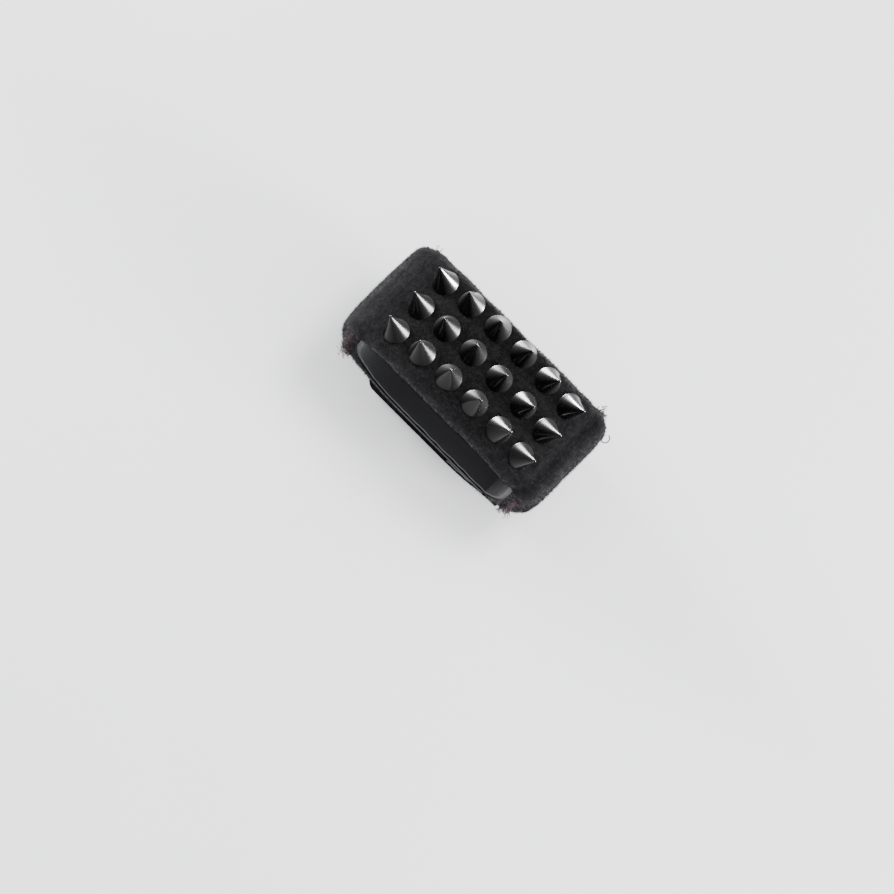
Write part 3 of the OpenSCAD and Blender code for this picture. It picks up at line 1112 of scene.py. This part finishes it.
def frayStrand(dice, root, outward, along):
    reach = fray["reach"] * dice.uniform(0.4, 1.15)
    curl = dice.uniform(0.25, 0.6)
    turns = dice.uniform(0.6, 1.9)
    phase = dice.uniform(0, 360)
    third = np.cross(outward, along)
    path = []
    for k in range(fray["knots"]):
        share = k / (fray["knots"] - 1)
        across, up = angled(phase + 360 * turns * share)
        out = reach * math.sin(share * math.pi * dice.uniform(0.62, 0.66))
        slip = (share - 0.3) * reach * 0.9
        path.append(root + outward * out + along * (slip + curl * across * share) + third * curl * up * share)
    return tube(path, [fray["thick"] * (1 - 0.5 * k / fray["knots"]) for k in range(fray["knots"])], 5)


def frayAlong(name, places, body, seed, loose=None):
    dice = np.random.default_rng(seed)
    made = []
    for root, outward, along, count in places:
        for k in range(count):
            start = root + along * dice.uniform(-1, 1) + outward * dice.uniform(-0.4, 0.1)
            way = outward + dice.normal(0, 0.35, 3)
            side = along * dice.choice((-1, 1)) + dice.normal(0, 0.4, 3)
            made.append(frayStrand(dice, start, way / np.linalg.norm(way), side / np.linalg.norm(side)))
    if loose is not None:
        ring = [loose + np.array([a * 0.8, c, 0.25 * a]) for a, c in (angled(30 * k) for k in range(11))]
        made.append(tube(ring, [0.13] * 11, 6))
    piece = addPiece(name, *joined(made), frayYarn, flip=True)
    carried(piece, body)
    return piece


def frayedEdge(grid, normals, names, wanted, low, high, side, count):
    # raw edges of the walls, where the velour's cut yarns work loose
    places = []
    for k, name in enumerate(names):
        if name not in wanted or not low < grid[k, width // 2, 2] < high:
            continue
        column = 4 if side < 0 else width - 5
        wall = normals[k, width // 2]
        ahead = grid[min(k + 1, len(names) - 1), column] - grid[max(k - 1, 0), column]
        out = wall * 0.55 + np.array([0, side * 0.8, 0])
        places.append((grid[k, column], out, ahead / np.linalg.norm(ahead), count))
    return places


bassWalls = ("bassCurve", "bassWall", "bassShoulder")
trebleWalls = ("trebleWall", "trebleCurve", "trebleShoulder")
frayAlong("bass_fray", frayedEdge(padSkin, skinNormals, padNames, bassWalls, 14, 31, -1, 9)
          + frayedEdge(padSkin, skinNormals, padNames, bassWalls, 24, 30, 1, 2), "pad", 21)
frayAlong("treble_fray", frayedEdge(padSkin, skinNormals, padNames, trebleWalls, 20, 29.5, -1, 7)
          + frayedEdge(flapGrid, flapNormals, flapNames, trebleWalls, 12, 20, -1, 8)
          + frayedEdge(padSkin, skinNormals, padNames, trebleWalls, 22, 31, 1, 6), "fold", 22,
          np.array([halfWide + 0.8, halfBand - 1.6, 26.0]))
print("frayed ends made")

# floor, light and camera
floorLook = {"size": 900.0, "pale": shade(0.93, 0.93, 0.93), "deep": shade(0.9, 0.9, 0.9)}
floorPaint = Paint("pale_floor")
grain = floorPaint.cloudy(30.0, 3.0)
floorShade = floorPaint.finish({
    "Base Color": floorPaint.mixed(grain, floorLook["deep"], floorLook["pale"]),
    "Roughness": (0.55 + grain * 0.1).clamped(),
    "Specular IOR Level": 0.3,
})
half = floorLook["size"]
floor = addPiece("pale_table", [(-half, -half, 0), (half, -half, 0), (half, half, 0), (-half, half, 0)],
                 [(0, 1, 2, 3)], floorShade)

studio = bpy.data.worlds.new("studio")
studio.use_nodes = True
sky = studio.node_tree.nodes["Background"]
sky.inputs["Color"].default_value = shade(0.95, 0.97, 1.0)
sky.inputs["Strength"].default_value = 1.4
bpy.context.scene.world = studio
middle = Vector((0, 0, crownTop * 0.75)) * mm
lampBlockers = bpy.data.collections.new("lamp_blockers")
lampBlockers.objects.link(tape)


def softbox(name, away, aim, wide, tall, power):
    lamp = bpy.data.lights.new(name, "AREA")
    lamp.shape = "RECTANGLE"
    lamp.size = wide
    lamp.size_y = tall
    lamp.energy = power
    holder = bpy.data.objects.new(name, lamp)
    bpy.context.scene.collection.objects.link(holder)
    holder.location = middle + Vector(away)
    holder.visible_camera = False
    holder.rotation_euler = (Vector(aim) + middle - holder.location).to_track_quat("-Z", "Y").to_euler()
    return holder


softbox("left_softbox", (-0.55, 0.0, 0.12), (0, 0, 0), 0.2, 0.2, 6.0)
softbox("right_softbox", (0.55, 0.1, 0.12), (0, 0, 0), 0.2, 0.2, 6.0)
# two small panels that only the polished studs pick up
catchAway = 0.3
catchWide = 0.12
for name, way, power in (("left_catchlight", (-0.736, 0.615, -0.2), 52.0),
                         ("right_catchlight", (0.79, 0.61, 0.05), 47.0)):
    catch = softbox(name, tuple(catchAway * part for part in way), (0, 0, 0.012), catchWide, catchWide, power)
    catch.light_linking.receiver_collection = studGroup
    catch.light_linking.blocker_collection = lampBlockers
softbox("top_softbox", (0.1, 0.35, 0.9), (0, 0, 0), 0.3, 0.3, 9.0)

lens = {"length": 125.0, "distance": 650.0, "tilt": 12.0, "roll": 45.0, "aside": 8.2, "above": 16.95}
lean, rise = angled(lens["tilt"])
back = Vector((0, -lean, rise))
level = Vector((1, 0, 0))
upright = Vector((0, rise, lean))
cosRoll = math.cos(math.radians(lens["roll"]))
sinRoll = math.sin(math.radians(lens["roll"]))
rightward = level * cosRoll + upright * sinRoll
upward = upright * cosRoll - level * sinRoll
aim = Vector((0, 0, crownTop)) - rightward * lens["aside"] - upward * lens["above"]
camera = bpy.data.objects.new("camera", bpy.data.cameras.new("camera"))
camera.data.lens = lens["length"]
camera.data.sensor_width = 36
camera.matrix_world = Matrix.Translation((aim + back * lens["distance"]) * mm) @ Matrix(
    (rightward, upward, back)).transposed().to_4x4()
bpy.context.scene.collection.objects.link(camera)
bpy.context.scene.camera = camera
print("stage set")
